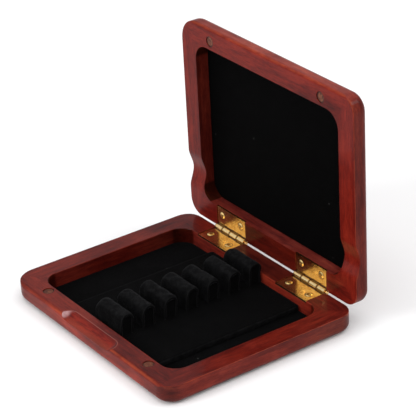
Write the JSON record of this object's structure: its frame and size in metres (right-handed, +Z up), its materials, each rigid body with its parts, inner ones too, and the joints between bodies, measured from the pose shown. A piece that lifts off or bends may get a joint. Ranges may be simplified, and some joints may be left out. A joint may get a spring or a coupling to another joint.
{
  "type": "reed case",
  "caption": "Hinged two-tray wooden case for oboe reeds, with a velvet-covered fin holder, brass butt hinges, hidden disc magnets and a finger scoop at the front.",
  "frame": {"origin": "centre of the flat underside of the base, the face that the case rests on", "axes": "+X along the hinge line to the right seen from the front, -Y towards the front edge with the finger scoop, +Y towards the hinges, +Z up"},
  "size_m": [0.11, 0.0954, 0.0963],
  "materials": {
    "shell_wood": "cherry-red stained hardwood under a clear gloss lacquer, grain along each rim",
    "lining_velvet": "short-pile black velvet on a thin backing",
    "holder_velvet": "short-pile black velvet wrapped over strips and board",
    "board_wood": "bare sanded board, hidden under the velvet",
    "hinge_brass": "polished brass-plated pressed leaf",
    "pin_brass": "polished brass pin with a small rounded head",
    "screw_brass": "polished brass raised countersunk screw with a cross recess",
    "magnet_disc": "plated magnet disc under a thin tinted coat of the case lacquer, reddish brown"
  },
  "bodies": {
    "base": {"base_shell": "shell_wood", "base_lining": "lining_velvet", "holder_board": "board_wood", "holder_board_cover": "holder_velvet", "fin_1_core": "board_wood", "fin_1_cover": "holder_velvet", "fin_2_core": "board_wood", "fin_2_cover": "holder_velvet", "fin_3_core": "board_wood", "fin_3_cover": "holder_velvet", "fin_4_core": "board_wood", "fin_4_cover": "holder_velvet", "fin_5_core": "board_wood", "fin_5_cover": "holder_velvet", "fin_6_core": "board_wood", "fin_6_cover": "holder_velvet", "fin_7_core": "board_wood", "fin_7_cover": "holder_velvet", "left_hinge_base_leaf": "hinge_brass", "left_hinge_base_screws": "screw_brass", "left_hinge_pin": "pin_brass", "left_base_magnet": "magnet_disc", "right_hinge_base_leaf": "hinge_brass", "right_hinge_base_screws": "screw_brass", "right_hinge_pin": "pin_brass", "right_base_magnet": "magnet_disc"},
    "lid": {"lid_shell": "shell_wood", "lid_lining": "lining_velvet", "left_hinge_lid_leaf": "hinge_brass", "left_hinge_lid_screws": "screw_brass", "left_lid_magnet": "magnet_disc", "right_hinge_lid_leaf": "hinge_brass", "right_hinge_lid_screws": "screw_brass", "right_lid_magnet": "magnet_disc"}
  },
  "joints": [
    {"name": "lid_hinge", "type": "hinge", "parent": "base", "child": "lid", "pos_m": [0, 0.0442, 0.00815], "axis": [1, 0, 0], "range_deg": [0, 90]}
  ]
}
